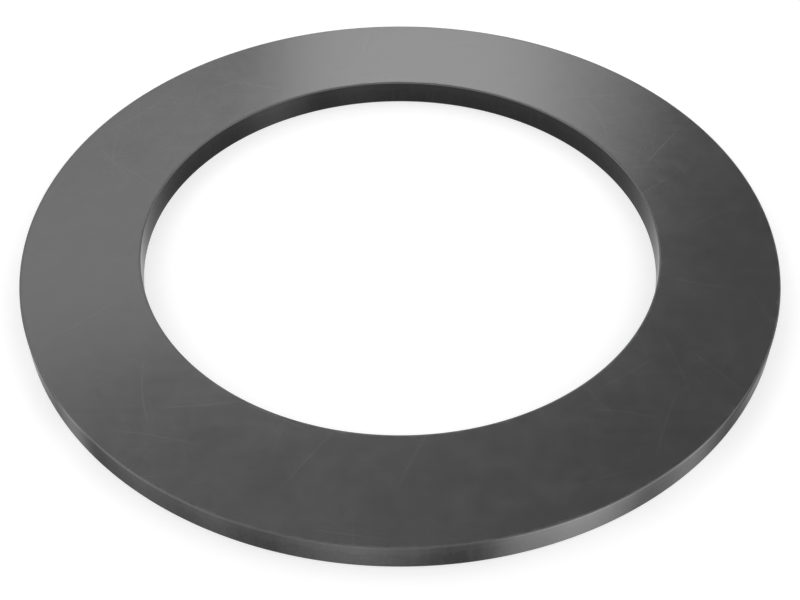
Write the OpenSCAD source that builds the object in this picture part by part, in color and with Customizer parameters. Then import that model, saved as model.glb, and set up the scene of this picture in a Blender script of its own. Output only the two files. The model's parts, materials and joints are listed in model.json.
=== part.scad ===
// Shim for a pump's compression spring: one flat ring, blanked from steel strip and tumbled.
// The spring stands on its upper face, its rim drops into the spring's pocket,
// and the spring's guide passes through its bore.
// The origin is the middle of the lower face, and +Z runs along the spring.

/* [Ring] */
// Outside diameter of the rim, in mm
outer_d = 25.4; // [23:0.1:60]
// Diameter of the bore, in mm
bore_d = 17.5; // [6:0.1:22]
// Thickness of the strip, in mm
thickness = 0.91; // [0.3:0.01:3]

/* [Edges] */
// Radius that tumbling leaves on the rim's two edges, in mm
rim_edge_r = 0.05; // [0.02:0.01:0.12]
// Radius that tumbling leaves on the bore's two edges, in mm
bore_edge_r = 0.04; // [0.02:0.01:0.12]

/* [Hidden] */

// Width of the flat land that the spring's end coil stands on
land_w = (outer_d - bore_d) / 2;
// Distance from the axis to the bore's wall
bore_r = bore_d / 2;
// Sides drawn on the ring and on an edge's small circle
ring_sides = 240;
edge_sides = 32;

// Half of the section from its middle out to one wall, with that wall's two edges rounded.
// The wall is at x = 0 and the half reaches back to x = -depth.
module section_half(depth, height, edge_r) {
    translate([-depth, 0]) square([depth - edge_r, height]);
    translate([-depth, edge_r]) square([depth, height - 2 * edge_r]);
    for (z = [edge_r, height - edge_r])
        translate([-edge_r, z]) circle(r = edge_r, $fn = edge_sides);
}

// Section of the ring, standing on z = 0 with the bore's wall at x = 0.
module ring_section() {
    translate([land_w, 0]) section_half(land_w / 2, thickness, rim_edge_r);
    mirror([1, 0]) section_half(land_w / 2, thickness, bore_edge_r);
}

module spring_shim() {
    color([0.40, 0.40, 0.41])
    rotate_extrude($fn = ring_sides)
    translate([bore_r, 0]) ring_section();
}

spring_shim();
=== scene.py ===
"""Dresses the pump spring shim, a flat tumbled-steel ring, and lays it in a small photo studio.

Every size is in metres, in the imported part's own frame: the ring lies on z = 0 and +Z runs along
the spring. Azimuths of the light turn from +Y, which is behind the ring in the main view, towards
+X. Angles round the ring turn from +X towards +Y.
"""

import json
import math

import bpy
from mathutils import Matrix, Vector


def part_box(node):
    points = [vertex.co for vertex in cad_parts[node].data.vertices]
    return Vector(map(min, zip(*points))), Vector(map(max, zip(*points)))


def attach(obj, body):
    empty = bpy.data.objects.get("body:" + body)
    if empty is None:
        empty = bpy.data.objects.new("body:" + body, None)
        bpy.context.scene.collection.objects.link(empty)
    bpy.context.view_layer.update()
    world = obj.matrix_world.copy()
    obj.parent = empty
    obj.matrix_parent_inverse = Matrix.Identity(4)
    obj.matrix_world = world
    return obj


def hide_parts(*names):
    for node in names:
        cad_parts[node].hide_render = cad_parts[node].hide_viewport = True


bl_info = {
    "name": "Pump spring shim",
    "version": (1, 0, 0),
    "blender": (4, 5, 0),
    "location": "View3D > Sidebar > Shim",
    "description": "Makes a tumbled-steel spring shim and a pale studio to show it in",
    "category": "Add Mesh",
}

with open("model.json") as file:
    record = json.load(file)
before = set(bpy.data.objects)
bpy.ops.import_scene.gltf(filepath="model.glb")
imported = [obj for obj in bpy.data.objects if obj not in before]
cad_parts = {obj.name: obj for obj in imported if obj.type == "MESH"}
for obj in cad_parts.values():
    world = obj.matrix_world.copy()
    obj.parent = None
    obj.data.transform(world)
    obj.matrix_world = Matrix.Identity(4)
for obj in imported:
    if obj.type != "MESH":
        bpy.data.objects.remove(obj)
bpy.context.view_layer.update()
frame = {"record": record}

MM = 0.001
MICRON = 0.001 * MM
ORIGIN = (0.0, 0.0, 0.0)
MOUNTS = {mount["name"]: mount for mount in frame["record"]["mounts"]}
SEAT_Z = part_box("spring_shim")[0].z
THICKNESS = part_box("spring_shim")[1].z - SEAT_Z
OUTER_D = 2 * MOUNTS["rim"]["dims"]["r_mm"] * MM
BORE_D = 2 * MOUNTS["bore"]["dims"]["r_mm"] * MM
RIM_EDGE_R = (THICKNESS - MOUNTS["rim"]["dims"]["length_mm"] * MM) / 2
BORE_EDGE_R = (THICKNESS - MOUNTS["bore"]["dims"]["length_mm"] * MM) / 2

# Zones of the ring, which are also its material slots
FACE, RIM, BORE = range(3)

# The map that textures are baked through: thirds of the ring, unrolled as rows
MAP_NAME = "OFBake"
MAP_ROWS = 3
MAP_MARGIN = 0.004

# Painted highlights and painted shade on the two walls: patches where the steel's colour is made
# lighter or darker round the ring, standing in for the light and shade of its reflections. Each gives
# the angle of the middle and the reach to each side in degrees, and how much brighter the middle is
# than the wall, as a share of it, which is negative on a darker one
RIM_PAINTED_LIGHT = (
    (-156, 7, 1.1),
    (-140, 6, 2.5),
    (-127, 12, 0.65),
    (-115, 5, 0.3),
    (-107, 4, -0.2),
    (-96, 9, 0.45),
    (-83, 6, -0.3),
    (-75, 5, 0.35),
    (-66, 15, 2.3),
    (-48, 10, 2.2),
    (-34, 9, -0.7),
    (-14, 8, -0.6),
    (14, 10, 0.8),
    (41, 13, 1.3),
    (76, 8, 0.6),
    (103, 15, 1.6),
    (142, 10, 0.9),
    (171, 9, 0.7),
)
BORE_PAINTED_LIGHT = (
    (-15, 9, -0.4),
    (2, 16, 0.2),
    (23, 8, -0.12),
    (102, 10, 0.25),
    (123, 14, 1.05),
    (160, 20, -0.55),
    (186, 10, 1.8),
    (214, 10, 0.8),
    (246, 8, 0.5),
    (288, 12, 1.0),
    (331, 9, 0.5),
)

# The photograph's camera: its place, how far below the horizon it looks, and its lens
CAMERA_PLACE = (0.0, -0.03265, 0.03041)
CAMERA_DIP = math.radians(45.03)
CAMERA_LENS_MM = 58.08
CAMERA_SENSOR_MM = 36.0
CAMERA_NEAR = 0.001
CAMERA_FAR = 5.0

# How far each soft box stands from the ring. Then each one's name, the azimuth and elevation of its
# middle, its width and height, all four in degrees, and its radiance
SOFT_BOX_DISTANCE = 0.8
SOFT_BOXES = (
    ("back_box", 1.0, 37.0, 13.0, 17.0, 1.95),
    ("back_strip", 11.5, 32.0, 4.0, 22.0, 0.85),
    ("left_box", -25.0, 39.0, 26.0, 16.0, 0.8),
    ("high_left_box", -56.0, 61.0, 60.0, 30.0, 0.2),
    ("front_box", 180.0, 44.0, 110.0, 52.0, 0.45),
    ("right_box", 86.0, 42.0, 50.0, 52.0, 1.0),
    ("left_side_box", -82.0, 38.0, 56.0, 48.0, 0.95),
    ("top_box", 180.0, 84.0, 24.0, 24.0, 0.5),
)


class ShimShape(bpy.types.PropertyGroup):
    """Sizes of the ring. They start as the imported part's own."""

    outer_d: bpy.props.FloatProperty(
        name="Outside diameter",
        description="Distance across the rim",
        default=OUTER_D,
        min=1 * MM,
        precision=5,
        unit="LENGTH",
    )
    bore_d: bpy.props.FloatProperty(
        name="Bore diameter",
        description="Distance across the hole",
        default=BORE_D,
        min=0.5 * MM,
        precision=5,
        unit="LENGTH",
    )
    thickness: bpy.props.FloatProperty(
        name="Thickness",
        description="Thickness of the strip that the ring is blanked from",
        default=THICKNESS,
        min=0.1 * MM,
        precision=5,
        unit="LENGTH",
    )
    rim_edge_r: bpy.props.FloatProperty(
        name="Rim edge radius",
        description="Radius that tumbling leaves on the rim's two edges",
        default=RIM_EDGE_R,
        min=0.005 * MM,
        precision=6,
        unit="LENGTH",
    )
    bore_edge_r: bpy.props.FloatProperty(
        name="Bore edge radius",
        description="Radius that tumbling leaves on the bore's two edges",
        default=BORE_EDGE_R,
        min=0.005 * MM,
        precision=6,
        unit="LENGTH",
    )
    segments: bpy.props.IntProperty(
        name="Segments",
        description="Number of steps round the ring",
        default=384,
        min=32,
        max=1024,
    )
    edge_steps: bpy.props.IntProperty(
        name="Edge steps",
        description="Number of steps round each of the four edges",
        default=6,
        min=1,
        max=16,
    )


class ShimFinish(bpy.types.PropertyGroup):
    """Colours and surface of the steel."""

    face_color: bpy.props.FloatVectorProperty(
        name="Face colour",
        description="Steel of the two flats and of the edges beside them",
        subtype="COLOR",
        size=3,
        min=0.0,
        max=1.0,
        default=(0.14, 0.14, 0.14),
    )
    # The outer wall's patches round the rim are painted highlights and painted shade in its colour.
    rim_color: bpy.props.FloatVectorProperty(
        name="Rim colour",
        description="Steel of the outer wall, between its rubbed patches",
        subtype="COLOR",
        size=3,
        min=0.0,
        max=1.0,
        default=(0.088, 0.088, 0.088),
    )
    # Painted shade: the inner wall's steel is set far darker than the flats and the rim, which darkens
    # its reflections; it stands for shade, not a dark film from blanking.
    bore_shade_color: bpy.props.FloatVectorProperty(
        name="Bore colour",
        description="Steel of the inner wall, which keeps most of the dark film from blanking",
        subtype="COLOR",
        size=3,
        min=0.0,
        max=1.0,
        default=(0.03, 0.03, 0.03),
    )
    face_satin: bpy.props.FloatProperty(
        name="Face satin",
        description="Roughness of the two flats",
        subtype="FACTOR",
        default=0.21,
        min=0.0,
        max=1.0,
    )
    wall_satin: bpy.props.FloatProperty(
        name="Wall satin",
        description="Roughness of the two walls",
        subtype="FACTOR",
        default=0.25,
        min=0.0,
        max=1.0,
    )
    rim_sheen: bpy.props.FloatProperty(
        name="Rim sheen",
        description="How bright the outer wall shines at a low angle, where 1 is bare steel",
        subtype="FACTOR",
        default=0.42,
        min=0.0,
        max=1.0,
    )
    bore_sheen: bpy.props.FloatProperty(
        name="Bore sheen",
        description="How bright the inner wall shines at a low angle, where 1 is bare steel",
        subtype="FACTOR",
        default=0.85,
        min=0.0,
        max=1.0,
    )
    wear_width: bpy.props.FloatProperty(
        name="Wear width",
        description="How far the wear of an edge reaches in from it",
        default=0.1 * MM,
        min=0.0,
        precision=6,
        unit="LENGTH",
    )


class ShimStudio(bpy.types.PropertyGroup):
    """The floor, its backdrop and the light."""

    floor_color: bpy.props.FloatVectorProperty(
        name="Floor colour",
        description="Paper of the floor and the backdrop",
        subtype="COLOR",
        size=3,
        min=0.0,
        max=1.0,
        default=(0.6, 0.6, 0.6),
    )
    floor_lift: bpy.props.FloatProperty(
        name="Floor lift",
        description="Light that the paper adds for the camera and for reflections, where 1 is white",
        default=0.56,
        min=0.0,
        max=1.0,
    )
    room_color: bpy.props.FloatVectorProperty(
        name="Room colour",
        description="Dim walls and ceiling of the studio, behind the soft boxes",
        subtype="COLOR",
        size=3,
        min=0.0,
        max=1.0,
        default=(0.35, 0.35, 0.35),
    )


class Wiring:
    """Adds nodes to a shader tree and joins their sockets."""

    # How far apart nodes stand in the shader editor, and how many heights they take in turn
    step_along, step_down, heights = 220, 160, 3

    def __init__(self, tree):
        self.tree = tree
        self.count = 0

    def node(self, kind, sockets=None, **settings):
        """Adds a node. sockets gives an input's name or number a value, or an output to join to it."""
        node = self.tree.nodes.new(kind)
        node.location = (self.step_along * self.count, -self.step_down * (self.count % self.heights))
        self.count += 1
        for name, value in settings.items():
            setattr(node, name, value)
        for key, value in (sockets or {}).items():
            if isinstance(value, bpy.types.NodeSocket):
                self.tree.links.new(value, node.inputs[key])
            else:
                node.inputs[key].default_value = value
        return node

    def math(self, operation, *values):
        """Adds a Math node and gives its result."""
        return self.node("ShaderNodeMath", dict(enumerate(values)), operation=operation).outputs[0]

    def vector(self, operation, *values):
        """Adds a Vector Math node and gives its result as a vector."""
        node = self.node("ShaderNodeVectorMath", dict(enumerate(values)), operation=operation)
        return node.outputs["Vector"]

    def ramp(self, value, start, end):
        """0 where value is at start, 1 where it is at end, and a smooth rise between them."""
        sockets = {"Value": value, "From Min": start, "From Max": end}
        node = self.node("ShaderNodeMapRange", sockets, interpolation_type="SMOOTHSTEP")
        return node.outputs["Result"]

    def total(self, start, *parts):
        """start plus each part's value times its weight."""
        result = start
        for value, weight in parts:
            result = self.math("MULTIPLY_ADD", value, weight, result)
        return result

    def noise(self, place, scale=1.0, detail=2.0):
        """Even noise from about -1 to 1, stretched from the node's own, which keeps near 0.5."""
        stretch = 4.0
        sockets = {"Vector": place, "Scale": scale, "Detail": detail}
        value = self.node("ShaderNodeTexNoise", sockets).outputs[0]
        return self.math("MULTIPLY_ADD", value, stretch, -stretch / 2)

    def flattened(self, place):
        """A place moved straight up or down to height 0."""
        return self.vector("MULTIPLY", place, (1.0, 1.0, 0.0))

    def above_seat(self, place):
        """Height of a place above the ring's lower face."""
        height = self.node("ShaderNodeSeparateXYZ", {0: place}).outputs["Z"]
        return self.math("SUBTRACT", height, SEAT_Z)

    def effect(self, maker, sockets):
        """Adds the node group that maker builds, which is built only once, and gives its result."""
        group = bpy.data.node_groups.get(maker.__name__) or maker(maker.__name__)
        return self.node("ShaderNodeGroup", sockets, node_tree=group).outputs[0]


def new_group(name, output, **inputs):
    """A shader node group with one output. Each input is a vector or a number, as its default is."""
    tree = bpy.data.node_groups.new(name, "ShaderNodeTree")
    for label, default in inputs.items():
        kind = "NodeSocketFloat" if isinstance(default, float) else "NodeSocketVector"
        socket = tree.interface.new_socket(name=label, in_out="INPUT", socket_type=kind)
        socket.default_value = default
    tree.interface.new_socket(name=output, in_out="OUTPUT", socket_type="NodeSocketFloat")
    wire = Wiring(tree)
    return tree, wire, wire.node("NodeGroupInput").outputs


def tumbled_haze(name):
    """Soft clouds that the barrel's stones leave, from about -1 to 1."""
    tree, wire, given = new_group(name, "Cloud", Place=ORIGIN, Size=2 * MM)
    cloud = wire.noise(given["Place"], wire.math("DIVIDE", 1.0, given["Size"]), detail=3.0)
    wire.node("NodeGroupOutput", {"Cloud": cloud})
    return tree


def drawn_streaks(name):
    """Streaks that are as long as Cell along each axis, from about -1 to 1."""
    tree, wire, given = new_group(name, "Streak", Place=ORIGIN, Cell=(4 * MM, 0.1 * MM, 0.1 * MM))
    streak = wire.noise(wire.vector("DIVIDE", given["Place"], given["Cell"]))
    wire.node("NodeGroupOutput", {"Streak": streak})
    return tree


def hairlines(name):
    """Fine scratches that lie every way, each in its own cell: up to 1 on a scratch and 0 beside it.
    The cells shift sideways with height, so that the upper and the lower face have their own."""
    overlays, step = 4, (7.3, 3.1, 0.0)
    bow, fades_from, ends_at = 0.5, 0.2, 0.5
    shift_per_height = 12.0
    tree, wire, given = new_group(name, "Scratch", Place=ORIGIN, Length=3 * MM, Width=0.04 * MM)
    shift = wire.math("MULTIPLY", wire.above_seat(given["Place"]), shift_per_height)
    sideways = wire.node("ShaderNodeCombineXYZ", {0: shift}).outputs[0]
    shifted = wire.vector("ADD", given["Place"], sideways)
    scaled = {0: shifted, "Scale": wire.math("DIVIDE", 1.0, given["Length"])}
    cells = wire.node("ShaderNodeVectorMath", scaled, operation="SCALE").outputs[0]
    half_width = wire.math("DIVIDE", given["Width"], wire.math("MULTIPLY", given["Length"], 2.0))
    scratch = 0.0
    for overlay in range(overlays):
        place = wire.vector("ADD", cells, tuple(overlay * share for share in step))
        sockets = {"Vector": place, "Scale": 1.0}
        cell = wire.node("ShaderNodeTexVoronoi", sockets, voronoi_dimensions="2D")
        chance = wire.node("ShaderNodeSeparateColor", {0: cell.outputs["Color"]}).outputs
        turn = wire.math("MULTIPLY", chance[0], math.tau)
        from_middle = wire.vector("SUBTRACT", place, cell.outputs["Position"])
        sockets = {"Vector": from_middle, "Angle": turn}
        turned = wire.node("ShaderNodeVectorRotate", sockets, rotation_type="Z_AXIS").outputs[0]
        x, y, _ = wire.node("ShaderNodeSeparateXYZ", {0: turned}).outputs
        bend = wire.math("MULTIPLY", wire.math("SUBTRACT", chance[1], 0.5), bow)
        across = wire.math("ABSOLUTE", wire.math("MULTIPLY_ADD", wire.math("MULTIPLY", x, x), bend, y))
        line = wire.math("MULTIPLY", wire.ramp(across, half_width, 0.0), chance[2])
        faded = wire.math("MULTIPLY", line, wire.ramp(wire.math("ABSOLUTE", x), ends_at, fades_from))
        scratch = wire.math("MAXIMUM", scratch, faded)
    wire.node("NodeGroupOutput", {"Scratch": scratch})
    return tree


def stone_dimples(name):
    """Shallow dimples that tumbling stones hammer in: 0 at the bottom of each, about 1 between them."""
    smoothness = 0.6
    tree, wire, given = new_group(name, "Dimple", Place=ORIGIN, Size=0.3 * MM)
    scale = wire.math("DIVIDE", 1.0, given["Size"])
    sockets = {"Vector": given["Place"], "Scale": scale, "Smoothness": smoothness}
    cells = wire.node("ShaderNodeTexVoronoi", sockets, feature="SMOOTH_F1")
    wire.node("NodeGroupOutput", {"Dimple": cells.outputs["Distance"]})
    return tree


def edge_wear(name):
    """1 on the four rounded edges, fading to 0 at about Width in from them, with a ragged border."""
    ragged, patch = 0.35, 0.5 * MM
    tree, wire, given = new_group(
        name,
        "Wear",
        Place=ORIGIN,
        Rim=OUTER_D / 2,
        Bore=BORE_D / 2,
        Thickness=THICKNESS,
        Width=0.1 * MM,
    )
    flat = wire.flattened(given["Place"])
    radius = wire.node("ShaderNodeVectorMath", {0: flat}, operation="LENGTH").outputs["Value"]
    above_seat = wire.above_seat(given["Place"])
    from_wall = wire.math(
        "MINIMUM",
        wire.math("SUBTRACT", given["Rim"], radius),
        wire.math("SUBTRACT", radius, given["Bore"]),
    )
    from_face = wire.math("MINIMUM", above_seat, wire.math("SUBTRACT", given["Thickness"], above_seat))
    from_edge = wire.math("MAXIMUM", from_wall, from_face)
    border = wire.math(
        "MULTIPLY",
        given["Width"],
        wire.total(1.0, (wire.noise(given["Place"], 1 / patch), ragged)),
    )
    wire.node("NodeGroupOutput", {"Wear": wire.ramp(from_edge, border, 0.0)})
    return tree


def painted_light_patch(name):
    """A patch of painted highlight and shade on a wall: 1 at the angle Middle, fading to 0 at Reach to
    each side.
    """
    tree, wire, given = new_group(name, "PaintedLight", Place=ORIGIN, Middle=0.0, Reach=0.2)
    outwards = wire.vector("NORMALIZE", wire.flattened(given["Place"]))
    middle = wire.node(
        "ShaderNodeCombineXYZ",
        {0: wire.math("COSINE", given["Middle"]), 1: wire.math("SINE", given["Middle"])},
    )
    nearness = wire.node(
        "ShaderNodeVectorMath", {0: outwards, 1: middle.outputs[0]}, operation="DOT_PRODUCT"
    ).outputs["Value"]
    away = wire.math("ARCCOSINE", wire.math("MINIMUM", nearness, 1.0))
    wire.node("NodeGroupOutput", {"PaintedLight": wire.ramp(away, given["Reach"], 0.0)})
    return tree


def sheared_band(name):
    """1 in the burnished band under the upper edge of a blanked wall, and torn grain from about -1 to 1
    in the band below it."""
    waver, soft, grain = 0.12, 0.06, 0.09 * MM
    wobble_cell = (0.5 * MM, 0.5 * MM, 5 * MM)
    tree, wire, given = new_group(name, "Burnish", Place=ORIGIN, Thickness=THICKNESS, Share=0.35)
    height = wire.math("DIVIDE", wire.above_seat(given["Place"]), given["Thickness"])
    wobble = wire.effect(drawn_streaks, {"Place": given["Place"], "Cell": wobble_cell})
    line = wire.total(1.0, (given["Share"], -1.0), (wobble, waver))
    burnish = wire.ramp(wire.math("SUBTRACT", height, line), -soft, soft)
    torn = wire.noise(given["Place"], 1 / grain)
    over_grain = wire.math("MULTIPLY", burnish, wire.math("SUBTRACT", 1.0, torn))
    wire.node("NodeGroupOutput", {"Burnish": wire.math("ADD", torn, over_grain)})
    return tree


def tumbled_steel(name, color, roughness, sheen, layers):
    """Steel out of the barrel. sheen is how bright it shines at a low angle. Each layer gives an
    effect, its inputs, and how much it lightens the steel, roughens it and raises it."""
    material = bpy.data.materials.new(name)
    material.use_nodes = True
    material.node_tree.nodes.clear()
    material.diffuse_color = (*color, 1.0)
    wire = Wiring(material.node_tree)
    place = wire.node("ShaderNodeTexCoord").outputs["Object"]
    laid = []
    for maker, sockets, *amounts in layers:
        laid.append((wire.effect(maker, {"Place": place, **sockets}), *amounts))
    tone = wire.total(1.0, *[(value, lighter) for value, lighter, _, _ in laid if lighter])
    rough = wire.total(roughness, *[(value, rougher) for value, _, rougher, _ in laid if rougher])
    height = wire.total(0.0, *[(value, raised) for value, _, _, raised in laid if raised])
    toned = wire.node("ShaderNodeVectorMath", {0: tuple(color), "Scale": tone}, operation="SCALE")
    bump = wire.node("ShaderNodeBump", {"Strength": 1.0, "Distance": 1.0, "Height": height})
    shader = wire.node(
        "ShaderNodeBsdfPrincipled",
        {
            "Base Color": toned.outputs[0],
            "Metallic": 1.0,
            "Roughness": rough,
            "Specular Tint": (sheen, sheen, sheen, 1.0),
            "Normal": bump.outputs["Normal"],
        },
    )
    wire.node("ShaderNodeOutputMaterial", {"Surface": shader.outputs["BSDF"]})
    return material


def worn_edges(shape, finish):
    """The sizes that the wear of the edges follows."""
    return {
        "Rim": shape.outer_d / 2,
        "Bore": shape.bore_d / 2,
        "Thickness": shape.thickness,
        "Width": finish.wear_width,
    }


def rolled_face(shape, finish):
    """Steel of the flats: rolled strip along X, hazed, scratched and hammered in the barrel, which
    leaves its edges matt."""
    layers = [
        (tumbled_haze, {"Size": 2.0 * MM}, 0.055, 0.018, 0.0),
        (tumbled_haze, {"Size": 0.5 * MM}, 0.025, 0.01, 0.05 * MICRON),
        (drawn_streaks, {"Cell": (5 * MM, 0.13 * MM, 0.13 * MM)}, 0.018, 0.008, 0.03 * MICRON),
        (stone_dimples, {"Size": 0.35 * MM}, 0.0, 0.0, 0.6 * MICRON),
        (hairlines, {"Length": 3.4 * MM, "Width": 0.07 * MM}, 0.18, 0.03, -0.35 * MICRON),
        (hairlines, {"Length": 1.1 * MM, "Width": 0.05 * MM}, 0.11, 0.02, -0.2 * MICRON),
        (edge_wear, worn_edges(shape, finish), 0.0, 0.25, 0.0),
    ]
    return tumbled_steel("rolled_face", finish.face_color, finish.face_satin, 1.0, layers)


def blanked_wall(name, color, sheen, painted_light_and_shade, shape, finish):
    """Steel of a wall that the die sheared, lighter at its edges, with patches of painted highlight and
    painted shade round it.
    """
    patch_roughness = -0.03
    patches = []
    # Each patch paints a highlight (positive share) or shade (negative share) into the wall's colour,
    # and smooths it a little.
    for middle, reach, brighter in painted_light_and_shade:
        sockets = {"Middle": math.radians(middle), "Reach": math.radians(reach)}
        patches.append((painted_light_patch, sockets, brighter, patch_roughness, 0.0))
    layers = [
        (sheared_band, {"Thickness": shape.thickness}, 0.11, -0.03, 0.25 * MICRON),
        (drawn_streaks, {"Cell": (0.13 * MM, 0.13 * MM, 1.2 * MM)}, 0.07, 0.02, 0.15 * MICRON),
        (tumbled_haze, {"Size": 0.7 * MM}, 0.05, 0.015, 0.04 * MICRON),
        (edge_wear, worn_edges(shape, finish), 0.08, -0.03, 0.0),
        *patches,
    ]
    return tumbled_steel(name, color, finish.wall_satin, sheen, layers)


def arc(r, z, radius, start, steps):
    """Points on a quarter turn of an edge, which begins at start degrees: r, z and the normal's r, z."""
    angles = [math.radians(start + 90 * step / steps) for step in range(steps + 1)]
    normals = [(math.cos(angle), math.sin(angle)) for angle in angles]
    return [(r + radius * out, z + radius * up, out, up) for out, up in normals]


def between(first, last, count):
    """Evenly spaced points between two points that share a normal, without the two of them."""
    shares = [step / (count + 1) for step in range(1, count + 1)]
    return [tuple(a + (b - a) * share for a, b in zip(first, last)) for share in shares]


def ring_section(shape):
    """The section's outline as runs of (zone, points), anticlockwise from the bore's lower edge.
    The rim's steel reaches halfway round its edges, and the bore's ends where its edges start."""
    on_flat, on_wall = 3, 1
    rim_r, bore_r = shape.outer_d / 2, shape.bore_d / 2
    low, high = SEAT_Z, SEAT_Z + shape.thickness
    rim_e, bore_e, steps = shape.rim_edge_r, shape.bore_edge_r, shape.edge_steps
    bore_low = arc(bore_r + bore_e, low + bore_e, bore_e, 180, steps)
    rim_low = arc(rim_r - rim_e, low + rim_e, rim_e, 270, steps)
    rim_high = arc(rim_r - rim_e, high - rim_e, rim_e, 0, steps)
    bore_high = arc(bore_r + bore_e, high - bore_e, bore_e, 90, steps)
    half = steps // 2
    return [
        (FACE, [*bore_low, *between(bore_low[-1], rim_low[0], on_flat), *rim_low[:half]]),
        (RIM, [*rim_low[half:], *between(rim_low[-1], rim_high[0], on_wall), *rim_high[:half]]),
        (FACE, [*rim_high[half:], *between(rim_high[-1], bore_high[0], on_flat), *bore_high[:-1]]),
        (BORE, [bore_high[-1], *between(bore_high[-1], bore_low[0], on_wall)]),
    ]


def unrolled(section, turns):
    """The map's place of each corner of the ring's faces, turn by turn and then along the section."""
    closed = [*section, section[0]]
    steps = [math.hypot(b[0] - a[0], b[1] - a[1]) for a, b in zip(closed, closed[1:])]
    along = [sum(steps[:i]) / sum(steps) for i in range(len(closed))]
    row_turns = math.ceil(turns / MAP_ROWS)
    wide, high = 1 - 2 * MAP_MARGIN, 1 / MAP_ROWS - 2 * MAP_MARGIN
    places = []
    for turn in range(turns):
        row, step = divmod(turn, row_turns)
        left, right = (MAP_MARGIN + wide * (step + end) / row_turns for end in (0, 1))
        base = row / MAP_ROWS + MAP_MARGIN
        for start, end in zip(along, along[1:]):
            low, top = base + high * start, base + high * end
            places += [(left, low), (right, low), (right, top), (left, top)]
    return places


def turned_ring(name, shape):
    """The section turned round the axis, with the normals of the true curved surface."""
    runs = ring_section(shape)
    section = [point for _, points in runs for point in points]
    zones = [zone for zone, points in runs for _ in points]
    across, turns = len(section), shape.segments
    spots, normals, quads = [], [], []
    for turn in range(turns):
        angle = math.tau * turn / turns
        c, s = math.cos(angle), math.sin(angle)
        for r, z, normal_r, normal_z in section:
            spots.append((r * c, r * s, z))
            normals.append((normal_r * c, normal_r * s, normal_z))
    for turn in range(turns):
        here, there = turn * across, (turn + 1) % turns * across
        for i in range(across):
            j = (i + 1) % across
            quads.append((here + i, there + i, there + j, here + j))
    mesh = bpy.data.meshes.new(name)
    mesh.from_pydata(spots, [], quads)
    mesh.polygons.foreach_set("material_index", zones * turns)
    places = [number for place in unrolled(section, turns) for number in place]
    mesh.uv_layers.new(name=MAP_NAME).data.foreach_set("uv", places)
    mesh.shade_smooth()
    mesh.normals_split_custom_set_from_vertices(normals)
    mesh.validate()
    return mesh


class SHIM_OT_ring(bpy.types.Operator):
    """Makes the steel ring and its finish"""

    bl_idname = "shim.ring"
    bl_label = "Spring shim"

    def execute(self, context):
        shape, finish = context.scene.shim_shape, context.scene.shim_finish
        ring = bpy.data.objects.new("shim_ring", turned_ring("shim_ring", shape))
        context.scene.collection.objects.link(ring)
        # The walls' patches are painted highlights and painted shade.
        rim = blanked_wall("rim_wall", finish.rim_color, finish.rim_sheen, RIM_PAINTED_LIGHT, shape, finish)
        # The inner wall's colour is painted shade.
        bore = blanked_wall("bore_wall", finish.bore_shade_color, finish.bore_sheen, BORE_PAINTED_LIGHT, shape, finish)
        for material in (rolled_face(shape, finish), rim, bore):
            ring.data.materials.append(material)
        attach(ring, "root")
        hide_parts("spring_shim")
        return {"FINISHED"}


def studio_paper(color, lift):
    """Matt paper, which adds a little light for the camera, mirrors and glass, so that it is white."""
    material = bpy.data.materials.new("studio_paper")
    material.use_nodes = True
    material.node_tree.nodes.clear()
    wire = Wiring(material.node_tree)
    ray = wire.node("ShaderNodeLightPath")
    seen = wire.math("MAXIMUM", ray.outputs["Is Camera Ray"], ray.outputs["Is Glossy Ray"])
    seen = wire.math("MAXIMUM", seen, ray.outputs["Is Transmission Ray"])
    shader = wire.node(
        "ShaderNodeBsdfPrincipled",
        {
            "Base Color": (*color, 1.0),
            "Roughness": 1.0,
            "Specular IOR Level": 0.0,
            "Emission Color": (1.0, 1.0, 1.0, 1.0),
            "Emission Strength": wire.math("MULTIPLY", seen, lift),
        },
    )
    wire.node("ShaderNodeOutputMaterial", {"Surface": shader.outputs["BSDF"]})
    return material


def cove(name):
    """The studio's floor, a disc whose rim curves up into a low backdrop all round."""
    flat_r, wall_r, height, turns, steps = 0.5, 0.75, 0.25, 96, 12
    inner_rings = (0.02, 0.06, 0.2)
    profile = [(r, 0.0) for r in (*inner_rings, flat_r)]
    for step in range(1, steps + 1):
        a = math.radians(90 * step / steps)
        profile.append((flat_r + (wall_r - flat_r) * math.sin(a), height * (1 - math.cos(a))))
    spots = [(0.0, 0.0, SEAT_Z)]
    faces = []
    count = len(profile)
    for turn in range(turns):
        a = math.tau * turn / turns
        spots += [(r * math.cos(a), r * math.sin(a), SEAT_Z + z) for r, z in profile]
    for turn in range(turns):
        here, there = 1 + turn * count, 1 + (turn + 1) % turns * count
        faces.append((0, here, there))
        faces += [(here + i, here + i + 1, there + i + 1, there + i) for i in range(count - 1)]
    mesh = bpy.data.meshes.new(name)
    mesh.from_pydata(spots, [], faces)
    mesh.shade_smooth()
    return mesh


def soft_box(name, azimuth, elevation, width, height, radiance):
    """An area lamp that looks that wide and high from the ring, in degrees."""
    az, el = math.radians(azimuth), math.radians(elevation)
    lamp = bpy.data.lights.new(name, "AREA")
    lamp.shape = "RECTANGLE"
    lamp.size = 2 * SOFT_BOX_DISTANCE * math.tan(math.radians(width) / 2)
    lamp.size_y = 2 * SOFT_BOX_DISTANCE * math.tan(math.radians(height) / 2)
    lamp.energy = radiance * math.pi * lamp.size * lamp.size_y
    towards = Vector((math.sin(az) * math.cos(el), math.cos(az) * math.cos(el), math.sin(el)))
    box = bpy.data.objects.new(name, lamp)
    box.location = towards * SOFT_BOX_DISTANCE
    box.rotation_euler = towards.to_track_quat("Z", "Y").to_euler()
    return box


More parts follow.
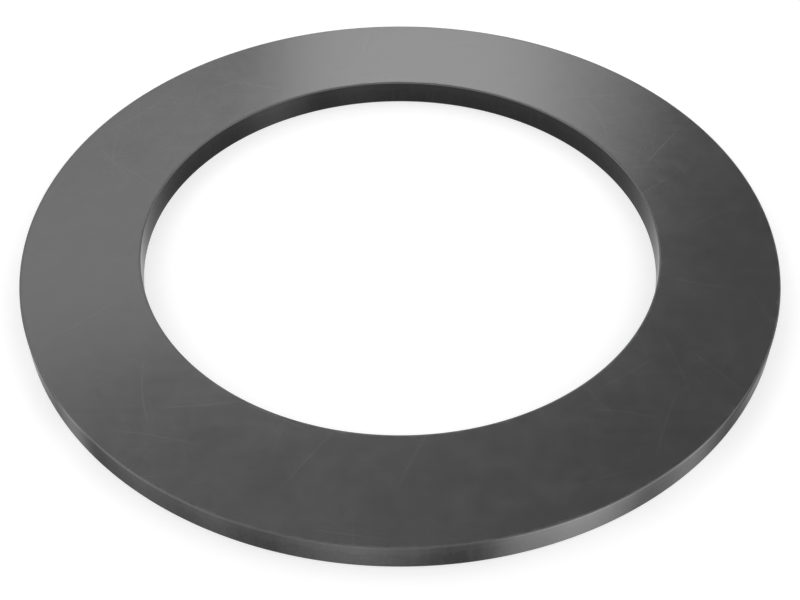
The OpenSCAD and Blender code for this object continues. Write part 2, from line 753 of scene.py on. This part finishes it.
class SHIM_OT_studio(bpy.types.Operator):
    """Makes the floor, the backdrop, the light and the camera"""

    bl_idname = "shim.studio"
    bl_label = "Studio"

    def execute(self, context):
        scene, studio = context.scene, context.scene.shim_studio
        floor = bpy.data.objects.new("floor_cove", cove("floor_cove"))
        floor.data.materials.append(studio_paper(studio.floor_color, studio.floor_lift))
        scene.collection.objects.link(floor)
        for box in SOFT_BOXES:
            scene.collection.objects.link(soft_box(*box))
        world = bpy.data.worlds.new("dim_room")
        world.use_nodes = True
        world.node_tree.nodes["Background"].inputs["Color"].default_value = (*studio.room_color, 1.0)
        scene.world = world
        camera = bpy.data.objects.new("camera", bpy.data.cameras.new("camera"))
        camera.data.lens = CAMERA_LENS_MM
        camera.data.sensor_width = CAMERA_SENSOR_MM
        camera.data.clip_start = CAMERA_NEAR
        camera.data.clip_end = CAMERA_FAR
        camera.location = CAMERA_PLACE
        camera.rotation_euler = (math.pi / 2 - CAMERA_DIP, 0.0, 0.0)
        scene.collection.objects.link(camera)
        scene.camera = camera
        scene.view_settings.view_transform = "Standard"
        return {"FINISHED"}


class SHIM_PT_panel(bpy.types.Panel):
    """Sizes, finish and studio of the shim"""

    bl_idname = "SHIM_PT_panel"
    bl_label = "Spring shim"
    bl_space_type = "VIEW_3D"
    bl_region_type = "UI"
    bl_category = "Shim"

    def draw(self, context):
        scene = context.scene
        for group in (scene.shim_shape, scene.shim_finish, scene.shim_studio):
            box = self.layout.box()
            for name in group.bl_rna.properties.keys():
                if name not in ("rna_type", "name"):
                    box.prop(group, name)
        self.layout.operator(SHIM_OT_ring.bl_idname)
        self.layout.operator(SHIM_OT_studio.bl_idname)


CLASSES = (ShimShape, ShimFinish, ShimStudio, SHIM_OT_ring, SHIM_OT_studio, SHIM_PT_panel)


def register():
    """Adds the classes, and gives each scene its sizes, finish and studio."""
    for cls in CLASSES:
        bpy.utils.register_class(cls)
    bpy.types.Scene.shim_shape = bpy.props.PointerProperty(type=ShimShape)
    bpy.types.Scene.shim_finish = bpy.props.PointerProperty(type=ShimFinish)
    bpy.types.Scene.shim_studio = bpy.props.PointerProperty(type=ShimStudio)


def unregister():
    """Takes out what register added."""
    del bpy.types.Scene.shim_studio
    del bpy.types.Scene.shim_finish
    del bpy.types.Scene.shim_shape
    for cls in reversed(CLASSES):
        bpy.utils.unregister_class(cls)


def main():
    """Makes the ring and the studio."""
    register()
    bpy.ops.shim.ring()
    bpy.ops.shim.studio()


if __name__ == "__main__":
    main()
